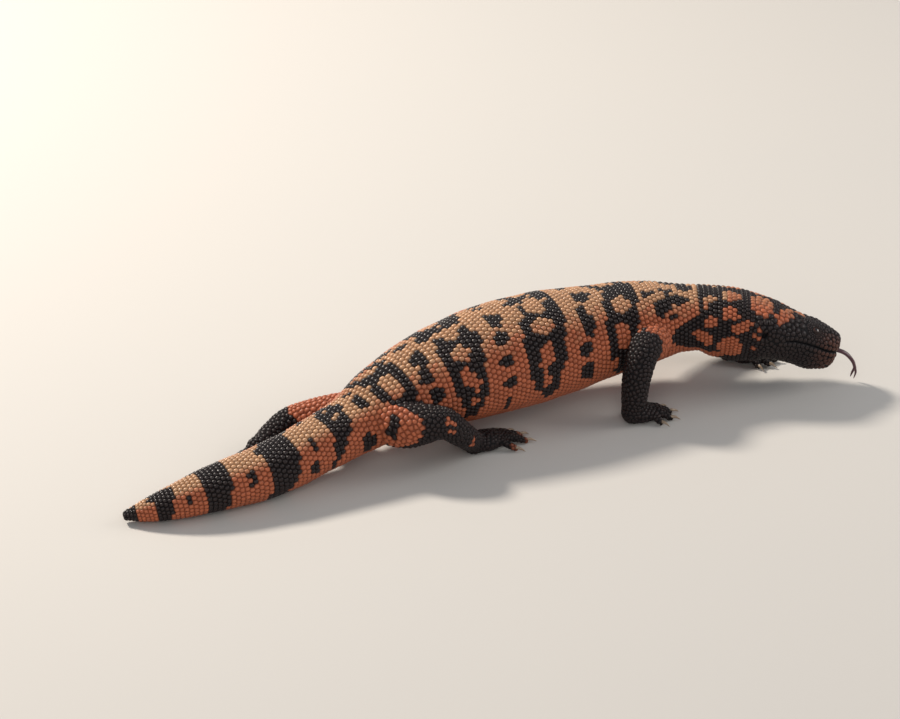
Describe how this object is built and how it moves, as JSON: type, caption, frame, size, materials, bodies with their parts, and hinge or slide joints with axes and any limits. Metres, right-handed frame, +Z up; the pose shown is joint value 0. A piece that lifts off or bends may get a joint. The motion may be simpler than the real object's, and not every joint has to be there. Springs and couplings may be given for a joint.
{
  "type": "gila monster",
  "caption": "Heavy-bodied lizard, life size, in a walking pose: beaded skin in salmon and black, blunt head with the forked tongue out, thick banded tail laid on the floor.",
  "frame": {"origin": "the middle of the floor area that the animal covers, on the floor that it stands on", "axes": "+X along the animal from the tail tip towards the snout, +Y to its left, +Z up"},
  "size_m": [0.4612, 0.1111, 0.0707],
  "materials": {
    "skin": "beaded skin, satin",
    "dark_skin": "beaded skin, satin",
    "eye": "wet gloss",
    "tongue": "moist satin",
    "claw": "polished horn"
  },
  "bodies": {
    "root": {"tail_end": "skin", "tail_mid": "skin", "tail_base": "skin", "pelvis": "skin", "belly": "skin", "chest": "skin", "neck": "skin", "head": "dark_skin", "lower_jaw": "dark_skin", "eye_left": "eye", "eye_right": "eye", "tongue": "tongue", "fore_right_upper": "dark_skin", "fore_right_lower": "dark_skin", "fore_right_foot": "dark_skin", "fore_left_upper": "dark_skin", "fore_left_lower": "dark_skin", "fore_left_foot": "dark_skin", "hind_right_upper": "dark_skin", "hind_right_lower": "dark_skin", "hind_right_foot": "dark_skin", "hind_left_upper": "dark_skin", "hind_left_lower": "dark_skin", "hind_left_foot": "dark_skin"}
  },
  "joints": []
}
